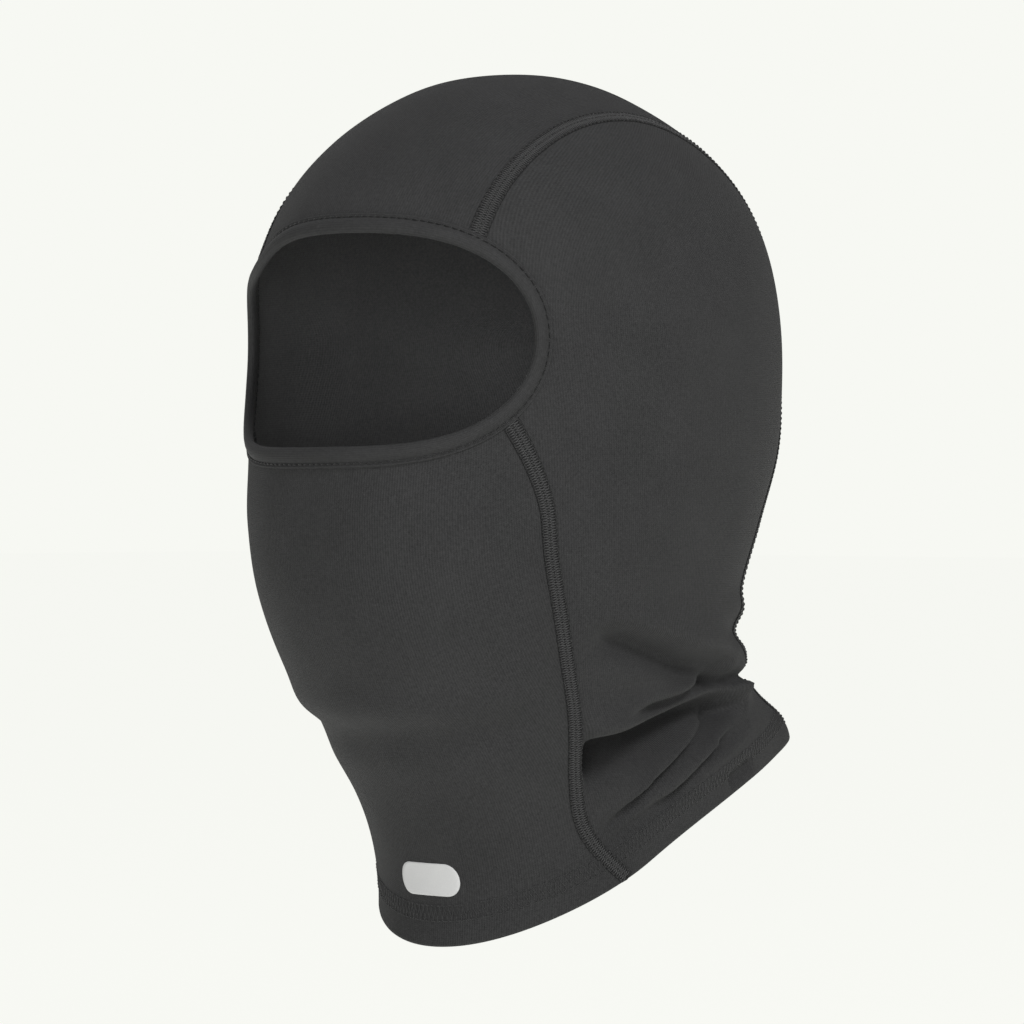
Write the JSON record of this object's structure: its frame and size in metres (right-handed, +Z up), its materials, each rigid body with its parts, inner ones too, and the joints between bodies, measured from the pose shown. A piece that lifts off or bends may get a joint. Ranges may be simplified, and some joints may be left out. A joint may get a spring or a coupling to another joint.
{
  "type": "balaclava",
  "caption": "Close-fitting knitted hood with an eye opening, flat-seamed panels, a bound opening edge and a sloping turned-up hem.",
  "frame": {"origin": "middle of the wearer's head, level with the ears: the mount named head", "axes": "+Z up, the face looks along -Y, the wearer's left is +X"},
  "size_m": [0.157, 0.2104, 0.2872],
  "materials": {
    "jersey": "brushed stretch jersey, charcoal black",
    "binding": "smooth stretch jersey strip, folded",
    "thread": "textured polyester thread",
    "reflective_film": "silver-grey heat-bonded reflective film",
    "label_tape": "blank woven tape"
  },
  "bodies": {
    "root": {"crown_panel": "jersey", "front_panel": "jersey", "left_side_panel": "jersey", "right_side_panel": "jersey", "left_crown_seam": "thread", "right_crown_seam": "thread", "left_front_seam": "thread", "right_front_seam": "thread", "face_binding": "binding", "face_binding_stitch": "thread", "hem_stitch": "thread", "reflective_mark": "reflective_film", "care_label": "label_tape"}
  },
  "joints": []
}
